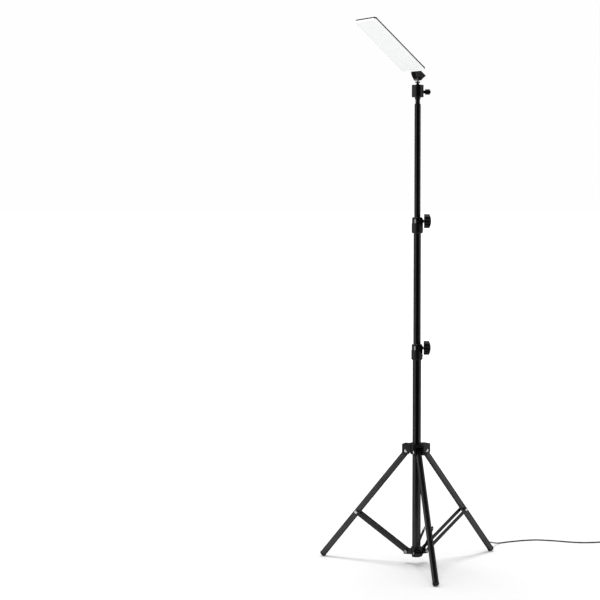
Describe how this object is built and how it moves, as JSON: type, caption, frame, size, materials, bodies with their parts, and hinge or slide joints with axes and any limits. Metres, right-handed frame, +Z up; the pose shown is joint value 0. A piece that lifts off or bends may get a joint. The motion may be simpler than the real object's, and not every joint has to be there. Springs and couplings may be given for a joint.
{
  "type": "LED panel light on tripod stand",
  "caption": "Rectangular LED panel light on a small ball head and tilt yoke, on a telescoping mast with folding braced legs, two clamp collars with knobs and a thin lead.",
  "frame": {"origin": "on the floor, on the mast's axis", "axes": "+Z up along the mast, -Y towards the side that the front leg points to, +X towards the locking knobs"},
  "size_m": [0.8222, 0.5859, 1.4095],
  "materials": {
    "mast_tube": "semi-gloss black powder coat on aluminium tube",
    "leg_tube": "semi-gloss black powder coat",
    "brace_steel": "satin black paint on pressed strip",
    "moulded_nylon": "fine-grained black moulded nylon",
    "rivet_steel": "bright nickel-plated steel",
    "pale_nylon": "natural pale nylon",
    "foot_rubber": "matt black rubber",
    "knob_plastic": "satin black moulded plastic, ribbed",
    "head_metal": "satin black anodised metal",
    "lug_zinc": "zinc plated steel, dark round the barrel and bright at the neck",
    "usb_shell": "pressed nickel-plated steel",
    "shell_plastic": "dark grey-black satin plastic",
    "yoke_plastic": "satin black moulded plastic",
    "frame_plastic": "white moulded plastic",
    "diffuser_plastic": "frosted white acrylic",
    "led_circuit": "white solder mask with pale LED packages",
    "driver_circuit": "green circuit board",
    "button_rubber": "dark silicone",
    "cord_jacket": "dark flexible PVC jacket",
    "tie_fabric": "black hook-and-loop tie"
  },
  "bodies": {
    "mast": {"lower_tube": "mast_tube", "mast_end_plug": "moulded_nylon", "lower_hub": "moulded_nylon", "hub_rivets": "rivet_steel", "lower_collar": "moulded_nylon", "lower_bush": "pale_nylon", "power_cord": "cord_jacket", "cord_coil": "cord_jacket", "cord_tie": "tie_fabric", "usb_plug_grip": "cord_jacket", "usb_plug_shell": "usb_shell"},
    "crown": {"crown": "moulded_nylon", "crown_rivets": "rivet_steel"},
    "leg_front": {"leg_front": "leg_tube", "leg_eye_front": "moulded_nylon", "foot_front": "foot_rubber", "leg_pin_front": "rivet_steel"},
    "leg_right": {"leg_right": "leg_tube", "leg_eye_right": "moulded_nylon", "foot_right": "foot_rubber", "leg_pin_right": "rivet_steel", "cord_boot": "cord_jacket"},
    "leg_left": {"leg_left": "leg_tube", "leg_eye_left": "moulded_nylon", "foot_left": "foot_rubber", "leg_pin_left": "rivet_steel"},
    "brace_front": {"brace_front": "brace_steel", "brace_rivets_front": "rivet_steel"},
    "brace_right": {"brace_right": "brace_steel", "brace_rivets_right": "rivet_steel"},
    "brace_left": {"brace_left": "brace_steel", "brace_rivets_left": "rivet_steel"},
    "lower_knob": {"lower_knob": "knob_plastic"},
    "middle": {"middle_tube": "mast_tube", "middle_guide": "pale_nylon", "upper_collar": "moulded_nylon", "upper_bush": "pale_nylon"},
    "upper_knob": {"upper_knob": "knob_plastic"},
    "top": {"top_tube": "mast_tube", "top_guide": "pale_nylon", "top_spigot": "head_metal", "ball_housing": "head_metal"},
    "head_knob": {"head_knob": "knob_plastic"},
    "ball_seat": {"ball_seat": "pale_nylon"},
    "ball": {"ball_stem": "head_metal", "hinge_lug": "lug_zinc"},
    "panel": {"back_shell": "shell_plastic", "front_frame": "frame_plastic", "diffuser": "diffuser_plastic", "led_board": "led_circuit", "driver_board": "driver_circuit", "yoke": "yoke_plastic", "hinge_bolt": "rivet_steel", "hinge_nut": "rivet_steel", "panel_screws": "rivet_steel"},
    "power_button": {"power_button": "button_rubber"},
    "dimmer_button": {"dimmer_button": "button_rubber"},
    "brighter_button": {"brighter_button": "button_rubber"}
  },
  "joints": [
    {"name": "crown_slide", "type": "slide", "parent": "mast", "child": "crown", "axis": [0, 0, 1], "range_m": [0, 0.124]},
    {"name": "leg_front_fold", "type": "hinge", "parent": "crown", "child": "leg_front", "pos_m": [0.00469, -0.02507, 0.29801], "axis": [0.9829, 0.184, 0], "range_deg": [0, 39.25]},
    {"name": "brace_front_fold", "type": "hinge", "parent": "mast", "child": "brace_front", "pos_m": [0.00469, -0.02507, 0.0332], "axis": [-0.9829, -0.184, 0], "range_deg": [0, 56.17]},
    {"name": "leg_right_fold", "type": "hinge", "parent": "crown", "child": "leg_right", "pos_m": [0.01936, 0.01659, 0.29801], "axis": [-0.6508, 0.7593, 0], "range_deg": [0, 39.25]},
    {"name": "brace_right_fold", "type": "hinge", "parent": "mast", "child": "brace_right", "pos_m": [0.01936, 0.01659, 0.0332], "axis": [0.6508, -0.7593, 0], "range_deg": [0, 56.17]},
    {"name": "leg_left_fold", "type": "hinge", "parent": "crown", "child": "leg_left", "pos_m": [-0.02405, 0.00847, 0.29801], "axis": [-0.3322, -0.9432, 0], "range_deg": [0, 39.25]},
    {"name": "brace_left_fold", "type": "hinge", "parent": "mast", "child": "brace_left", "pos_m": [-0.02405, 0.00847, 0.0332], "axis": [0.3322, 0.9432, 0], "range_deg": [0, 56.17]},
    {"name": "middle_slide", "type": "slide", "parent": "mast", "child": "middle", "axis": [0, 0, 1], "range_m": [-0.284, 0]},
    {"name": "top_slide", "type": "slide", "parent": "middle", "child": "top", "axis": [0, 0, 1], "range_m": [-0.284, 0]},
    {"name": "lower_knob_turn", "type": "hinge", "parent": "mast", "child": "lower_knob", "pos_m": [0.0264, 0, 0.567], "axis": [1, 0, 0], "range_deg": [-270, 0]},
    {"name": "upper_knob_turn", "type": "hinge", "parent": "middle", "child": "upper_knob", "pos_m": [0.0264, 0, 0.895], "axis": [1, 0, 0], "range_deg": [-270, 0]},
    {"name": "head_knob_turn", "type": "hinge", "parent": "top", "child": "head_knob", "pos_m": [0.024, 0, 1.2257], "axis": [1, 0, 0], "range_deg": [-270, 0]},
    {"name": "head_pan", "type": "hinge", "parent": "top", "child": "ball_seat", "pos_m": [0, 0, 1.233], "axis": [0, 0, 1], "range_deg": [-180, 180]},
    {"name": "ball_tilt", "type": "hinge", "parent": "ball_seat", "child": "ball", "pos_m": [0, 0, 1.233], "axis": [-0.9011, -0.4337, 0], "range_deg": [-20, 20]},
    {"name": "panel_tilt", "type": "hinge", "parent": "ball", "child": "panel", "pos_m": [0, 0, 1.259], "axis": [0.4337, -0.9011, 0], "range_deg": [-47, 42]},
    {"name": "power_button_press", "type": "slide", "parent": "panel", "child": "power_button", "axis": [-0.6053, -0.2913, -0.7408], "range_m": [0, 0.001], "stiffness_N_per_m": 300},
    {"name": "dimmer_button_press", "type": "slide", "parent": "panel", "child": "dimmer_button", "axis": [-0.6053, -0.2913, -0.7408], "range_m": [0, 0.001], "stiffness_N_per_m": 300},
    {"name": "brighter_button_press", "type": "slide", "parent": "panel", "child": "brighter_button", "axis": [-0.6053, -0.2913, -0.7408], "range_m": [0, 0.001], "stiffness_N_per_m": 300}
  ],
  "couplings": [
    {"joint": "leg_front_fold", "follows": "crown_slide", "rad_per_m": 5.5139},
    {"joint": "brace_front_fold", "follows": "crown_slide", "rad_per_m": 7.8939},
    {"joint": "leg_right_fold", "follows": "crown_slide", "rad_per_m": 5.5139},
    {"joint": "brace_right_fold", "follows": "crown_slide", "rad_per_m": 7.8939},
    {"joint": "leg_left_fold", "follows": "crown_slide", "rad_per_m": 5.5139},
    {"joint": "brace_left_fold", "follows": "crown_slide", "rad_per_m": 7.8939}
  ]
}
